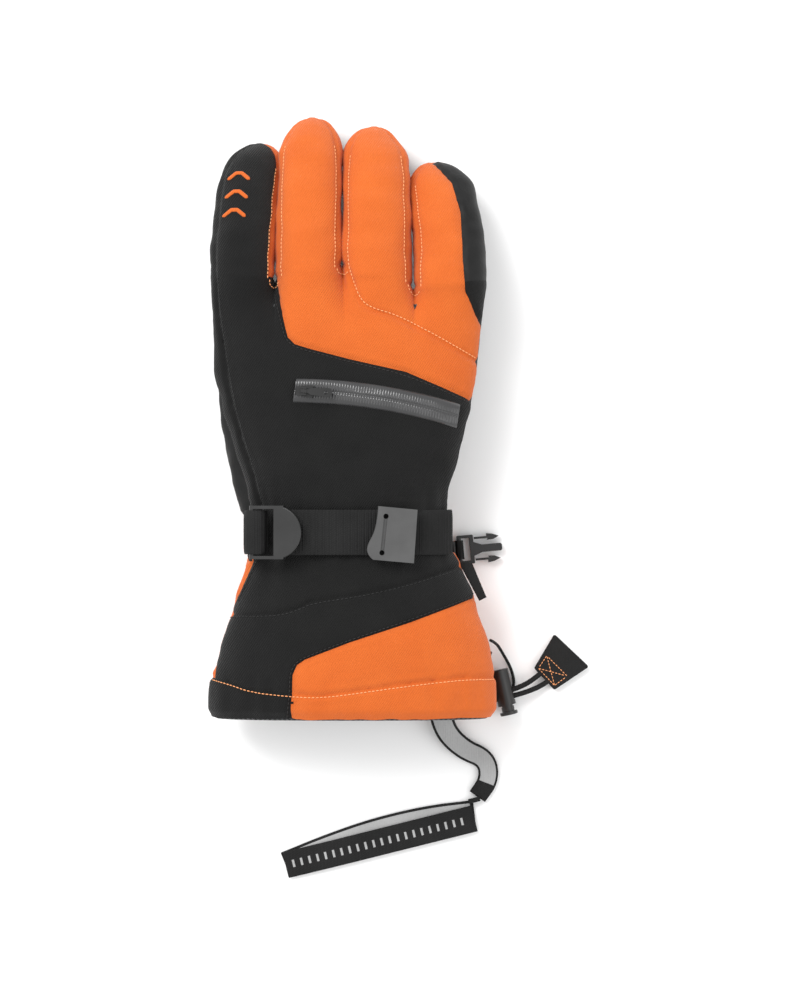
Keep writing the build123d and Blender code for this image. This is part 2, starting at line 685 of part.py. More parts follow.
with BuildPart() as side_label:
    with BuildSketch(Plane.XY.offset(31.2)):
        with BuildLine():
            Polyline((54.4, 43.6), (61.0, 43.6), (68.2, 26.4), (64.6, 24.6), close=True)
        make_face()
    extrude(amount=0.7)
save(side_label.part, "side_label")

# ---------------------------------------------------------------- drawcord and cord lock
lock_x, lock_y, lock_z = LOCK_AT
along_cord = Vector(cos(radians(CORD_TURN)), sin(radians(CORD_TURN)), 0)
along_barrel = Vector(along_cord.Y, -along_cord.X, 0)
barrel_plane = Plane(origin=LOCK_AT, x_dir=along_cord, z_dir=along_barrel)


def beside_lock(along, side):
    """A point on one strand's straight stretch through the lock."""
    p = Vector(*LOCK_AT) + along_cord * along + along_barrel * (side * CORD_SPREAD)
    return (p.X, p.Y, p.Z)


STRANDS = {
    "drawcord_upper": [
        (60.4, -25.0, 6.9), beside_lock(-9.4, -1), beside_lock(8.8, -1),
        (96.4, -13.2, 2.0), (101.0, -8.6, 1.9),
    ],
    "drawcord_lower": [
        (60.4, -28.6, 6.9), beside_lock(-9.4, 1), beside_lock(8.8, 1),
        (98.4, -18.6, 2.0), (103.2, -14.2, 1.9),
    ],
}
for name, route in STRANDS.items():
    save(cord(route, CORD_D), name)

SLOT_HALF = CORD_SPREAD + CORD_D / 2 + 0.35
with BuildPart() as lock_barrel:
    with BuildSketch(barrel_plane.offset(-BARREL_BACK)):
        Circle(BARREL_R)
    extrude(amount=BARREL_BACK + BARREL_FRONT)
    with BuildSketch(barrel_plane.offset(-BARREL_BACK + 1.5)):
        Circle(BARREL_BORE_R)
    extrude(amount=BARREL_BACK + BARREL_FRONT, mode=Mode.SUBTRACT)
    with BuildSketch(Plane(origin=LOCK_AT, x_dir=along_barrel, z_dir=along_cord).offset(-10)):
        Rectangle(2 * SLOT_HALF, CORD_D + 0.7)
    extrude(amount=20, mode=Mode.SUBTRACT)
    chamfer(lock_barrel.faces().filter_by(GeomType.PLANE).sort_by(Axis.Y)[-1].edges(), 0.4)
save(lock_barrel.part, "lock_barrel")

PLUNGER_IN = 5.2
with BuildPart() as lock_plunger:
    with BuildSketch(barrel_plane.offset(-PLUNGER_IN)):
        Circle(PLUNGER_R)
    extrude(amount=PLUNGER_IN + PLUNGER_OUT - 1.0)
    with BuildSketch(barrel_plane.offset(PLUNGER_OUT - 1.4)):
        Circle(PLUNGER_HEAD_R)
    extrude(amount=1.6)
    fillet(lock_plunger.edges().filter_by(GeomType.CIRCLE).sort_by(Axis.Y)[0], 0.5)
    with BuildSketch(Plane(origin=LOCK_AT, x_dir=along_barrel, z_dir=along_cord).offset(-10)):
        with Locations((PLUNGER_TRAVEL / 2, 0)):
            Rectangle(2 * SLOT_HALF + PLUNGER_TRAVEL, CORD_D + 0.7)
    extrude(amount=20, mode=Mode.SUBTRACT)
save(lock_plunger.part, "lock_plunger")

SPRING_R, SPRING_WIRE, SPRING_TURNS = 2.5, 0.6, 5
spring_length = BARREL_BACK - 1.5 - PLUNGER_IN - SPRING_WIRE - 0.3
with BuildPart() as lock_spring:
    with BuildLine():
        coil = Helix(
            spring_length / SPRING_TURNS,
            spring_length,
            SPRING_R,
            center=barrel_plane.from_local_coords((0, 0, -BARREL_BACK + 1.95)),
            direction=along_barrel,
        )
    with BuildSketch(Plane(origin=coil @ 0, z_dir=coil % 0)):
        Circle(SPRING_WIRE / 2)
    sweep(is_frenet=True)
save(lock_spring.part, "lock_spring")

with BuildPart() as end_tab:
    with BuildSketch(Plane.XY.offset(0.5)):
        with BuildLine():
            Polyline(*TAB_END, close=True)
        make_face()
    extrude(amount=TAB_END_THICK)
    fillet(end_tab.edges().filter_by(Axis.Z), 1.0)
save(end_tab.part, "end_tab")

KEEPER = [
    (70.4, 4.6, 24.0), (73.6, 3.0, 13.5), (77.2, -3.0, 3.6), (81.4, -10.4, 1.0),
    (83.2, -18.0, 0.8), (80.6, -25.4, 0.8), (74.6, -26.8, 0.8), (70.6, -20.4, 1.9),
    (69.0, -12.0, 6.4), (69.6, -5.6, 13.6), (70.5, -1.6, 21.5),
]
save(cord(KEEPER, 1.5), "cord_keeper")

# ---------------------------------------------------------------- wrist leash
LEAD = [
    (42.0, 8.0, 15.6), (43.6, -10.0, 13.6), (44.6, -27.0, 13.2), (47.4, -41.6, 7.2),
    (57.0, -51.4, 2.4), (68.8, -56.2, 1.7), (70.4, -66.6, 1.7), (64.2, -75.4, 1.8),
]
save(cord(LEAD, LEAD_D), "leash_lead")

LOOP_TURN = 194.0
loop_plane = Plane(
    origin=(62.8, -86.4, 0.2),
    x_dir=(cos(radians(LOOP_TURN)), sin(radians(LOOP_TURN)), 0),
    z_dir=(0, 0, 1),
)
with BuildPart() as leash_loop:
    with BuildSketch(loop_plane):
        Rectangle(LOOP_LENGTH, LOOP_WIDTH, align=(Align.MIN, Align.CENTER))
    extrude(amount=LOOP_THICK)
    fillet(leash_loop.edges().filter_by(Axis.Z), 1.5)
save(leash_loop.part, "leash_loop")

with BuildPart() as leash_tack:
    with BuildSketch(Plane(origin=(62.6, -77.2, 0.0), x_dir=loop_plane.x_dir, z_dir=(0, 0, 1))):
        Rectangle(6.0, 2.2)
    extrude(amount=3.6)
save(leash_tack.part, "leash_tack")
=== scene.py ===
from math import cos, exp, pi, sin, sqrt

import bmesh
import bpy
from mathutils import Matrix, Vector, noise
from mathutils.bvhtree import BVHTree
from mathutils.kdtree import KDTree


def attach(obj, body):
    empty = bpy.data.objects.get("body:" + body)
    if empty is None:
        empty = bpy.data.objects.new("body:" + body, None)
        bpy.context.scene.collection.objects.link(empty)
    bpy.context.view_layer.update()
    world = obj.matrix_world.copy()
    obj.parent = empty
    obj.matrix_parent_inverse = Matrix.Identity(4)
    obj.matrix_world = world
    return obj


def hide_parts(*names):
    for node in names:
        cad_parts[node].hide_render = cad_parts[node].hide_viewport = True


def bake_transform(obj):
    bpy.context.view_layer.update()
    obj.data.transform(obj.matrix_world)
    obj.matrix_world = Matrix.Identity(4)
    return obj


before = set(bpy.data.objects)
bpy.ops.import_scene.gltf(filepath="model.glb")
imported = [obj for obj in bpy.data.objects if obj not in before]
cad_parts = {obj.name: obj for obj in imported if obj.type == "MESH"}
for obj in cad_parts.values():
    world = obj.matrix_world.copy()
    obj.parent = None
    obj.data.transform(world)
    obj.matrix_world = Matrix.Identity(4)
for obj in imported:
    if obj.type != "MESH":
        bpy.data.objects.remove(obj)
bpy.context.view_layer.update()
MM = 0.001

# ------------------------------------------------------------------ studio
# A plain white sweep, one broad soft light from the upper left and a weak fill from the right,
# with the camera straight above the back of the hand.
VIEW_MIDDLE, VIEW_HEIGHT, CAMERA_RISE = Vector((0.025, 0.075, 0.0)), 0.5, 2.0

camera_data = bpy.data.cameras.new("overhead")
camera_data.lens = camera_data.sensor_width * (CAMERA_RISE - 0.03) / VIEW_HEIGHT
camera = bpy.data.objects.new("overhead", camera_data)
camera.location = VIEW_MIDDLE + Vector((0, 0, CAMERA_RISE))
bpy.context.scene.collection.objects.link(camera)
bpy.context.scene.camera = camera


def soft_light(name, place, aim, size, power):
    data = bpy.data.lights.new(name, "AREA")
    data.shape = "SQUARE"
    data.size = size
    data.energy = power
    lamp = bpy.data.objects.new(name, data)
    lamp.location = place
    lamp.rotation_euler = (Vector(aim) - Vector(place)).to_track_quat("-Z", "Y").to_euler()
    bpy.context.scene.collection.objects.link(lamp)


soft_light("key", (-0.9, 1.1, 1.5), (0.0, 0.1, 0.0), 1.0, 34.0)
soft_light("fill", (1.3, -0.4, 1.3), (0.0, 0.1, 0.0), 1.4, 9.0)

world = bpy.data.worlds.new("studio")
bpy.context.scene.world = world
bpy.context.scene.view_settings.view_transform = "Standard"
world.use_nodes = True
world.node_tree.nodes["Background"].inputs["Color"].default_value = (1.0, 1.0, 1.0, 1.0)
world.node_tree.nodes["Background"].inputs["Strength"].default_value = 1.0

bpy.ops.object.select_all(action="DESELECT")
bpy.ops.mesh.primitive_plane_add(size=4.0, location=(0, 0, -0.0006))
floor = bpy.context.object
floor.name = "floor"
floor_paint = bpy.data.materials.new("pale_floor")
floor_paint.use_nodes = True
floor_paint.node_tree.nodes["Principled BSDF"].inputs["Base Color"].default_value = (0.93, 0.93, 0.93, 1)
floor_paint.node_tree.nodes["Principled BSDF"].inputs["Roughness"].default_value = 0.9
floor.data.materials.append(floor_paint)


# ------------------------------------------------------------------ cloth and plastic finishes
# The fabrics share a woven relief, a slow change of tone and a painted highlight: the tone is paler where the
# fine fuzz stands raised.
# Each effect is one group, placed in every finish with its own scale and strength.
def effect_group(name, inputs, outputs):
    group = bpy.data.node_groups.new(name, "ShaderNodeTree")
    for label, default in inputs:
        socket = group.interface.new_socket(label, in_out="INPUT", socket_type="NodeSocketFloat")
        socket.default_value = default
    for label in outputs:
        group.interface.new_socket(label, in_out="OUTPUT", socket_type="NodeSocketFloat")
    return group, group.nodes.new("NodeGroupInput"), group.nodes.new("NodeGroupOutput")


def math_node(nodes, links, kind, first, second=None):
    node = nodes.new("ShaderNodeMath")
    node.operation = kind
    for socket, value in zip(node.inputs, (first, second)):
        if value is None:
            continue
        if isinstance(value, (int, float)):
            socket.default_value = value
        else:
            links.new(value, socket)
    return node.outputs[0]


# Weave: over-and-under threads, from two crossed waves of the piece's own X and Y
weave, weave_in, weave_out = effect_group(
    "weave", [("Threads", 1500.0), ("Twill", 0.5), ("Roughen", 0.5)], ["Height", "Tone"]
)
wn, wl = weave.nodes, weave.links
place = wn.new("ShaderNodeTexCoord")
parts = wn.new("ShaderNodeSeparateXYZ")
wl.new(place.outputs["Object"], parts.inputs[0])
along_x = math_node(wn, wl, "MULTIPLY", parts.outputs["X"], weave_in.outputs["Threads"])
along_y = math_node(wn, wl, "MULTIPLY", parts.outputs["Y"], weave_in.outputs["Threads"])
slant = math_node(wn, wl, "MULTIPLY", along_y, weave_in.outputs["Twill"])
warp = math_node(wn, wl, "SINE", math_node(wn, wl, "ADD", along_x, slant))
weft = math_node(wn, wl, "SINE", along_y)
threads = math_node(wn, wl, "MULTIPLY", warp, weft)
fuzz = wn.new("ShaderNodeTexNoise")
fuzz.inputs["Scale"].default_value = 1400.0
fuzz.inputs["Detail"].default_value = 3.0
wl.new(place.outputs["Object"], fuzz.inputs["Vector"])
rough = math_node(wn, wl, "MULTIPLY", fuzz.outputs["Fac"], weave_in.outputs["Roughen"])
wl.new(math_node(wn, wl, "ADD", threads, rough), weave_out.inputs["Height"])
slow = wn.new("ShaderNodeTexNoise")
slow.inputs["Scale"].default_value = 55.0
slow.inputs["Detail"].default_value = 4.0
wl.new(place.outputs["Object"], slow.inputs["Vector"])
tone_mix = math_node(wn, wl, "MULTIPLY", slow.outputs["Fac"], 0.6)
# painted highlight: the fuzz that roughens the relief also lightens the tone, so raised fibres are painted
# paler
painted_fuzz_highlight = math_node(wn, wl, "MULTIPLY", fuzz.outputs["Fac"], 0.4)
wl.new(math_node(wn, wl, "ADD", tone_mix, painted_fuzz_highlight), weave_out.inputs["Tone"])

# Grain: the pebbled cells of synthetic leather or moulded plastic
grain, grain_in, grain_out = effect_group("grain", [("Cells", 900.0)], ["Height", "Tone"])
gn, gl = grain.nodes, grain.links
grain_place = gn.new("ShaderNodeTexCoord")
cells = gn.new("ShaderNodeTexVoronoi")
cells.feature = "SMOOTH_F1"
gl.new(grain_in.outputs["Cells"], cells.inputs["Scale"])
gl.new(grain_place.outputs["Object"], cells.inputs["Vector"])
gl.new(cells.outputs["Distance"], grain_out.inputs["Height"])
blotch = gn.new("ShaderNodeTexNoise")
blotch.inputs["Scale"].default_value = 90.0
blotch.inputs["Detail"].default_value = 5.0
gl.new(grain_place.outputs["Object"], blotch.inputs["Vector"])
gl.new(blotch.outputs["Fac"], grain_out.inputs["Tone"])


def finish(name, dark, light, group, group_values, roughness, bump, distance, sheen=0.0, coat=0.0):
    """A finish whose colour runs from dark to light with a group's tone, and whose relief is its height."""
    material = bpy.data.materials.new(name)
    material.use_nodes = True
    nodes, links = material.node_tree.nodes, material.node_tree.links
    shader = nodes["Principled BSDF"]
    effect = nodes.new("ShaderNodeGroup")
    effect.node_tree = group
    for label, value in group_values.items():
        effect.inputs[label].default_value = value
    ramp = nodes.new("ShaderNodeValToRGB")
    ramp.color_ramp.elements[0].position = 0.25
    ramp.color_ramp.elements[1].position = 0.75
    ramp.color_ramp.elements[0].color = (*dark, 1)
    ramp.color_ramp.elements[1].color = (*light, 1)
    links.new(effect.outputs["Tone"], ramp.inputs["Fac"])
    links.new(ramp.outputs["Color"], shader.inputs["Base Color"])
    relief = nodes.new("ShaderNodeBump")
    relief.inputs["Strength"].default_value = bump
    relief.inputs["Distance"].default_value = distance
    links.new(effect.outputs["Height"], relief.inputs["Height"])
    links.new(relief.outputs["Normal"], shader.inputs["Normal"])
    spread = nodes.new("ShaderNodeMapRange")
    spread.inputs["To Min"].default_value = roughness - 0.06
    spread.inputs["To Max"].default_value = roughness + 0.06
    links.new(effect.outputs["Tone"], spread.inputs["Value"])
    links.new(spread.outputs["Result"], shader.inputs["Roughness"])
    shader.inputs["Sheen Weight"].default_value = sheen
    shader.inputs["Specular IOR Level"].default_value = 0.16 if roughness > 0.5 else 0.5
    shader.inputs["Coat Weight"].default_value = coat
    return material


CLOTH = {"Threads": 5200.0, "Twill": 0.35, "Roughen": 1.2}
orange_cloth = finish(
    "orange_softshell", (0.53, 0.100, 0.014), (0.61, 0.130, 0.021), weave, CLOTH, 0.86, 0.5, 0.0004, 0.12
)
black_cloth = finish(
    "black_softshell", (0.0045, 0.0045, 0.0045), (0.010, 0.010, 0.0098), weave, CLOTH, 0.82, 0.6, 0.0004, 0.06
)
leather = finish(
    "palm_leather", (0.007, 0.007, 0.007), (0.016, 0.016, 0.016), grain, {"Cells": 1100.0}, 0.55, 0.35, 0.0003
)
lining_knit = finish(
    "lining_knit", (0.012, 0.012, 0.013), (0.03, 0.03, 0.032),
    weave, {"Threads": 2600.0, "Twill": 0.0, "Roughen": 2.0},
    0.95, 0.8, 0.0006, 0.2,
)
webbing_cloth = finish(
    "webbing", (0.007, 0.007, 0.007), (0.018, 0.018, 0.018),
    weave, {"Threads": 3600.0, "Twill": 1.0, "Roughen": 0.4},
    0.7, 0.55, 0.0003,
)
gloss_plastic = finish(
    "moulded_plastic", (0.009, 0.009, 0.009), (0.014, 0.014, 0.014),
    grain, {"Cells": 2400.0}, 0.32, 0.08, 0.0001
)
tab_plastic = finish(
    "tab_plastic", (0.05, 0.05, 0.05), (0.07, 0.07, 0.07), grain, {"Cells": 2000.0}, 0.5, 0.15, 0.0001
)
coated_tape = finish(
    "coated_tape", (0.022, 0.022, 0.023), (0.035, 0.035, 0.036),
    grain, {"Cells": 1500.0}, 0.3, 0.1, 0.0002, 0.0, 0.3
)
orange_thread = finish(
    "orange_thread", (0.83, 0.33, 0.13), (0.9, 0.42, 0.2),
    weave, {"Threads": 9000.0, "Twill": 1.0, "Roughen": 0.5},
    0.6, 0.4, 0.0001,
)
black_thread = finish(
    "black_thread", (0.02, 0.02, 0.02), (0.035, 0.035, 0.035),
    weave, {"Threads": 9000.0, "Twill": 1.0, "Roughen": 0.5},
    0.6, 0.4, 0.0001,
)
spring_steel = finish(
    "spring_steel", (0.4, 0.4, 0.4), (0.5, 0.5, 0.5), grain, {"Cells": 3000.0}, 0.3, 0.05, 0.0001
)
spring_steel.node_tree.nodes["Principled BSDF"].inputs["Metallic"].default_value = 1.0

# ------------------------------------------------------------------ outer glove
# Softshell and leather panels, sewn inside out and turned, then filled by the wadding. One skin
# is shaped here, a back sheet and a palm sheet with a valley between each two fingers, and the
# panels are cut from it along their seams.
HAND = [  # y, middle x, half width, bottom z, top z, in millimetres
    (-33.0, 0.8, 69.4, 0.6, 54.0),
    (-29, 1.2, 71.6, 0.2, 56.5),
    (-18, 1.3, 71.2, 0.2, 57.5),
    (0, 2.5, 67.2, 0.6, 57.5),
    (25, 2.6, 59.6, 5.0, 55.0),
    (42, 2.0, 52.6, 14.0, 53.5),
    (52, 0.2, 49.6, 18.5, 53.2),
    (64, -0.4, 49.2, 20.0, 53.2),
    (80, -0.9, 49.8, 20.0, 54.5),
    (100, -0.8, 55.4, 20.0, 56.0),
    (120, -1.4, 61.0, 20.0, 56.5),
    (140, -2.0, 65.0, 20.0, 56.0),
    (165, -1.2, 66.4, 20.0, 55.0),
    (195, -0.8, 68.4, 20.0, 53.5),
    (230, -0.8, 68.4, 18.0, 48.0),
]
FINGERS = ["index", "middle", "ring", "little"]
FINGER_SHAPE = {  # root x, tip x, half width, tip y
    "index": (-53.2, -46.0, 15.8, 255.0),
    "middle": (-20.6, -19.2, 16.5, 267.6),
    "ring": (13.6, 12.0, 17.2, 263.0),
    "little": (49.8, 43.0, 17.5, 245.2),
}
CROTCH_Y = (187.0, 184.0, 191.5, 180.0, 183.0)  # from the index's outer side to the little's
SHARES = (-1.0, -0.367, -0.0096, 0.337, 1.0)  # how the hand's width is shared by the fingers
KNUCKLE_Y, SQUARE = 146.0, 2.35
COLUMNS, HAND_ROWS, FINGER_ROWS = 28, 184, 70
WALL = 5  # columns of a finger that its side wall takes, at each side


def between(table, y, column):
    """The value in a column of a table of stations at y, interpolated."""
    if y <= table[0][0]:
        return table[0][column]
    for low, high in zip(table, table[1:]):
        if y <= high[0]:
            t = (y - low[0]) / (high[0] - low[0])
            t = 0.5 * t + 0.5 * t * t * (3 - 2 * t)
            return low[column] + (high[column] - low[column]) * t
    return table[-1][column]


def rounded(value, power):
    return abs(value) ** power * (1 if value >= 0 else -1)


def hand_point(share, y, side):
    """A point of the hand's oval, share -1 to 1 across it, on its back (1) or palm (-1)."""
    across = sin(share * pi / 2)
    low, high = between(HAND, y, 3), between(HAND, y, 4)
    rise = max(0.0, 1 - abs(across) ** SQUARE) ** (1 / SQUARE)
    return Vector(
        (
            between(HAND, y, 1) + between(HAND, y, 2) * across,
            y,
            (low + high) / 2 + side * rise * (high - low) / 2,
        )
    )


def finger_point(name, v, y, t, side):
    """A point of one finger's oval, a share t of the way from its crotch to its tip."""
    root_x, tip_x, half, _ = FINGER_SHAPE[name]
    end = sqrt(max(0.0, 1 - max(0.0, (t - 0.70) / 0.30) ** 2.3))
    wide = half * (1.0 - 0.08 * t * t) * end
    tall = (15.5 - 2.4 * t) * (0.1 + 0.9 * end) * (end > 0)
    turn = pi * (1 - v)
    return Vector(
        (
            root_x + (tip_x - root_x) * t**2.2 + wide * rounded(cos(turn), 2 / SQUARE),
            y,
            38.0 - 8.0 * t - 17.0 * t * t + side * tall * rounded(sin(turn), 2 / SQUARE),
        )
    )


def skin_point(f, v, row, side):
    """A point of the skin. Below the knuckles the fingers share the hand's oval; from there
    each comes out of it, down to a crotch at either side, and goes on alone."""
    name = FINGERS[f]
    crotch = CROTCH_Y[f] + (CROTCH_Y[f + 1] - CROTCH_Y[f]) * v
    if row > HAND_ROWS:
        step = (row - HAND_ROWS) / FINGER_ROWS
        t = 0.4 * step + 0.6 * sin(step * pi / 2)
        y = crotch + (FINGER_SHAPE[name][3] - crotch) * t
        return finger_point(name, v, y, t, side)
    y = HAND[0][0] + (crotch - HAND[0][0]) * row / HAND_ROWS
    hand = hand_point(SHARES[f] + (SHARES[f + 1] - SHARES[f]) * v, y, side)
    if y < KNUCKLE_Y:
        return hand
    part_way = ((y - KNUCKLE_Y) / (crotch - KNUCKLE_Y)) ** 2.2
    point = finger_point(name, v, y, 0.0, side)
    if v in (0, 1) and 0 < f + v < 4:
        other = FINGERS[f + (1 if v == 1 else -1)]
        point = (point + finger_point(other, 1 - v, y, 0.0, side)) / 2
    return hand.lerp(point, part_way)


skin = bmesh.new()
on_side = skin.faces.layers.int.new("side")
on_finger = skin.faces.layers.int.new("finger")
on_row = skin.faces.layers.int.new("row")
on_column = skin.faces.layers.int.new("column")
for side in (1, -1):
    for f in range(4):
        rows = [
            [skin.verts.new(skin_point(f, col / COLUMNS, row, side)) for col in range(COLUMNS + 1)]
            for row in range(HAND_ROWS + FINGER_ROWS + 1)
        ]
        for row, (near, far) in enumerate(zip(rows, rows[1:])):
            for col in range(COLUMNS):
                corners = (near[col], near[col + 1], far[col + 1], far[col])
                face = skin.faces.new(corners if side > 0 else corners[::-1])
                face[on_side], face[on_finger] = side, f
                face[on_row], face[on_column] = row, col
bmesh.ops.remove_doubles(skin, verts=skin.verts, dist=0.02)

# Seams of the back, in plan, in millimetres
SEAMS = {
    "knuckle": [
        (-37.2, 186.0), (-35.5, 176.0), (-32.5, 163.0), (-30.5, 155.5), (-27.0, 152.0),
        (-20.0, 149.8), (0.0, 144.6), (28.0, 138.3), (57.0, 126.0), (66.0, 121.0),
    ],
    "knuckle_inner": [
        (-1.6, 191.5), (1.0, 183.0), (4.5, 173.5), (10.0, 169.0), (22.0, 165.8), (40.5, 156.5), (68.0, 141.0),
    ],
    "thumb_side": [
        (-67.2, 200.0), (-65.6, 169.5), (-62.5, 149.5), (-58.6, 124.5), (-54.0, 107.0),
        (-47.5, 86.5), (-44.0, 70.0), (-45.0, 50.0), (-50.0, 40.0),
        (-57.5, 24.0), (-65.5, 2.0), (-67.8, -15.0), (-67.0, -40.0),
    ],
    "little_side": [
        (43.0, 243.0), (51.0, 234.0), (55.4, 218.0), (56.2, 193.5), (57.4, 178.0),
        (62.6, 167.5), (67.0, 160.0),
    ],
    "cuff_colour": [
        (-30.0, -36.0), (-28.4, -20.0), (-28.2, -11.5), (-26.0, -6.5), (-22.0, -3.8),
        (-0.5, 4.5), (30.0, 14.5), (60.0, 25.5), (70.0, 29.0),
    ],
    "cuff_join": [
        (-72.0, 13.0), (-60.0, 18.0), (-49.0, 18.3), (-35.0, 18.9), (-25.0, 21.8), (-19.0, 25.0),
        (6.5, 28.7), (27.0, 33.2), (52.0, 41.0), (62.0, 44.0),
    ],
    "hem": [
        (-76.0, -12.0), (-60.0, -15.2), (-49.0, -19.0), (-30.0, -21.0), (-14.0, -21.7), (6.0, -19.0),
        (30.0, -15.7), (57.0, -12.8), (76.0, -13.6),
    ],
}


def near_line(point, line):
    """How far a plan point is from a line of points, and on which side (positive is left)."""
    best, turned = 1e9, 0.0
    for (ax, ay), (bx, by) in zip(line, line[1:]):
        dx, dy = bx - ax, by - ay
        share = ((point[0] - ax) * dx + (point[1] - ay) * dy) / (dx * dx + dy * dy)
        share = max(0.0, min(1.0, share))
        px, py = point[0] - ax - dx * share, point[1] - ay - dy * share
        gap = sqrt(px * px + py * py)
        if gap < best - 1e-9:
            best, turned = gap, dx * py - dy * px
    return best if turned >= 0 else -best


CUT_REACH = 3.2
for name, line in SEAMS.items():
    sides = (1, -1) if name == "hem" else (1,)
    for (ax, ay), (bx, by) in zip(line, line[1:]):
        low_x, high_x = min(ax, bx) - CUT_REACH, max(ax, bx) + CUT_REACH
        low_y, high_y = min(ay, by) - CUT_REACH, max(ay, by) + CUT_REACH
        chosen = []
        for face in skin.faces:
            if face[on_side] not in sides:
                continue
            c = face.verts[0].co
            if low_x < c.x < high_x and low_y < c.y < high_y:
                if abs(near_line((c.x, c.y), [(ax, ay), (bx, by)])) < CUT_REACH:
                    chosen.append(face)
        geometry = set(chosen)
        for face in chosen:
            geometry.update(face.edges)
            geometry.update(face.verts)
        bmesh.ops.bisect_plane(
            skin, geom=list(geometry), dist=0.02, plane_co=(ax, ay, 0), plane_no=(by - ay, ax - bx, 0)
        )
skin.normal_update()


def panel_of(face):
    """The panel that a face of the skin belongs to."""
    c = face.calc_center_median()
    f, col, back = face[on_finger], face[on_column], face[on_side] > 0
    name = FINGERS[f]
    place = (c.x, c.y)
    if face[on_row] >= HAND_ROWS + 1:
        wall = col < WALL or col >= COLUMNS - WALL
        outer = (f == 0 and col < WALL) or (f == 3 and col >= COLUMNS - WALL)
        if f == 3 and back and near_line(place, SEAMS["little_side"]) > 0:
            return "little_wrap"
        if outer:
            return name + "_wrap"
        if wall:
            return name + "_side_walls"
        return name + ("_back" if back else "_palm")
    if near_line(place, SEAMS["hem"]) < 0:
        return "hem_casing_colour" if c.x > -28.4 else "hem_casing"
    if not back:
        return "cuff_palm_panel" if c.y < 50.0 else "palm_panel"
    if near_line(place, SEAMS["thumb_side"]) < 0:
        return "palm_edge" if c.y > 45.0 else "cuff_palm_panel"
    if f == 3 and c.y > 160.0 and near_line(place, SEAMS["little_side"]) > 0:
        return "palm_edge"
    if near_line(place, SEAMS["knuckle"]) > 0 and c.y > 118.0:
        return "knuckle_panel"
    if near_line(place, SEAMS["cuff_join"]) < 0:
        colour = near_line(place, SEAMS["cuff_colour"]) < 0
        return "cuff_colour_panel" if colour else "cuff_back_panel"
    return "back_panel"


panels = {}
for face in skin.faces:
    panels.setdefault(panel_of(face), []).append(face)

# The wadding fills each panel out between its seams, and the elastic gathers the wrist
skin.verts.ensure_lookup_table()
seam_points = []
owner = {face: name for name, faces in panels.items() for face in faces}
for edge in skin.edges:
    names = {owner[face] for face in edge.link_faces}
    if len(names) > 1:
        if names in ({"knuckle_panel", "middle_back"}, {"knuckle_panel", "ring_back"}):
            continue
        if names in ({"knuckle_panel", "little_back"}, {"back_panel", "index_back"}):
            continue
        if names == {"palm_edge", "index_wrap"} or names == {"palm_edge", "little_wrap"}:
            continue
        if len({n.split("_")[-1] for n in names} & {"palm", "panel"}) == 2:
            continue
        seam_points.append((edge.verts[0].co + edge.verts[1].co) / 2)
for edge in skin.edges:
    middle = (edge.verts[0].co + edge.verts[1].co) / 2
    if any(face[on_side] > 0 for face in edge.link_faces):
        if abs(near_line((middle.x, middle.y), SEAMS["knuckle_inner"])) < 0.35 and edge.calc_length() > 0.05:
            seam_points.append(middle)
seam_tree = KDTree(len(seam_points))
for i, point in enumerate(seam_points):
    seam_tree.insert(point, i)
seam_tree.balance()


def wrinkle(point, size, seed):
    return noise.noise(Vector((point.x / size[0] + seed, point.y / size[1], point.z / size[2])))


def swell(point):
    """How far the cloth stands out of its plain shape at a point, in millimetres."""
    gap = seam_tree.find(point)[2]
    up = 0.75 * (1 - exp(-((gap / 5.5) ** 2))) - 0.95 * exp(-((gap / 1.15) ** 2))
    up += 0.30 * exp(-(((gap - 2.6) / 1.0) ** 2))
    up += 0.9 * wrinkle(point, (34.0, 26.0, 30.0), 3.1) + 0.45 * wrinkle(point, (11.0, 13.0, 12.0), 9.7)
    # puckers across each seam, where the thread draws the cloth up
    up += 0.30 * exp(-((gap / 3.5) ** 2)) * wrinkle(point, (2.6, 2.6, 2.6), 5.5)
    # gathers that run out of the wrist strap
    away = abs(point.y - 59.0)
    if away < 45:
        gather = exp(-((max(0.0, away - 10.0) / 13.0) ** 2))
        broad, fine = wrinkle(point, (6.5, 34.0, 14.0), 1.7), wrinkle(point, (3.2, 20.0, 9.0), 6.1)
        up += gather * (1.5 * broad + 0.5 * fine)
    # slack folds over the back of the hand and across the joints of the fingers
    if point.y > 185:
        up += 0.75 * wrinkle(point, (17.0, 8.5, 12.0), 2.2)
    elif 75 < point.y < 128:
        up += 0.7 * wrinkle(point, (24.0, 12.0, 20.0), 4.4)
    # the hem's cord draws its casing into small waves
    if point.y < -12:
        up += 0.8 * wrinkle(point, (6.0, 22.0, 12.0), 8.3)
    return up


moves = [(vert, vert.normal.copy() * swell(vert.co)) for vert in skin.verts]
for vert, move in moves:
    vert.co += move
    vert.co.z = max(vert.co.z, 0.15)
skin.normal_update()
surface = BVHTree.FromBMesh(skin)


def piece_from(name, places, faces, paint):
    """A smooth piece from points in metres and faces, in one finish."""
    mesh = bpy.data.meshes.new(name)
    mesh.from_pydata(places, [], faces)
    mesh.polygons.foreach_set("use_smooth", [True] * len(faces))
    mesh.materials.append(paint)
    piece = bpy.data.objects.new(name, mesh)
    bpy.context.scene.collection.objects.link(piece)
    return piece


def sew(name, faces, paint, nodes, body="glove"):
    """Makes a piece from some of the skin's faces, shaded as part of the whole skin."""
    index, places, normals, corners = {}, [], [], []
    for face in faces:
        for vert in face.verts:
            if vert not in index:
                index[vert] = len(places)
                places.append(vert.co * MM)
                normals.append(vert.normal.copy())
        corners.append([index[vert] for vert in face.verts])
    piece = piece_from(name, places, corners, paint)
    piece.data.normals_split_custom_set_from_vertices(normals)
    if nodes:
        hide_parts(*nodes)
    if body == "glove":
        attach(piece, "glove")
    else:
        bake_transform(piece)
    return piece


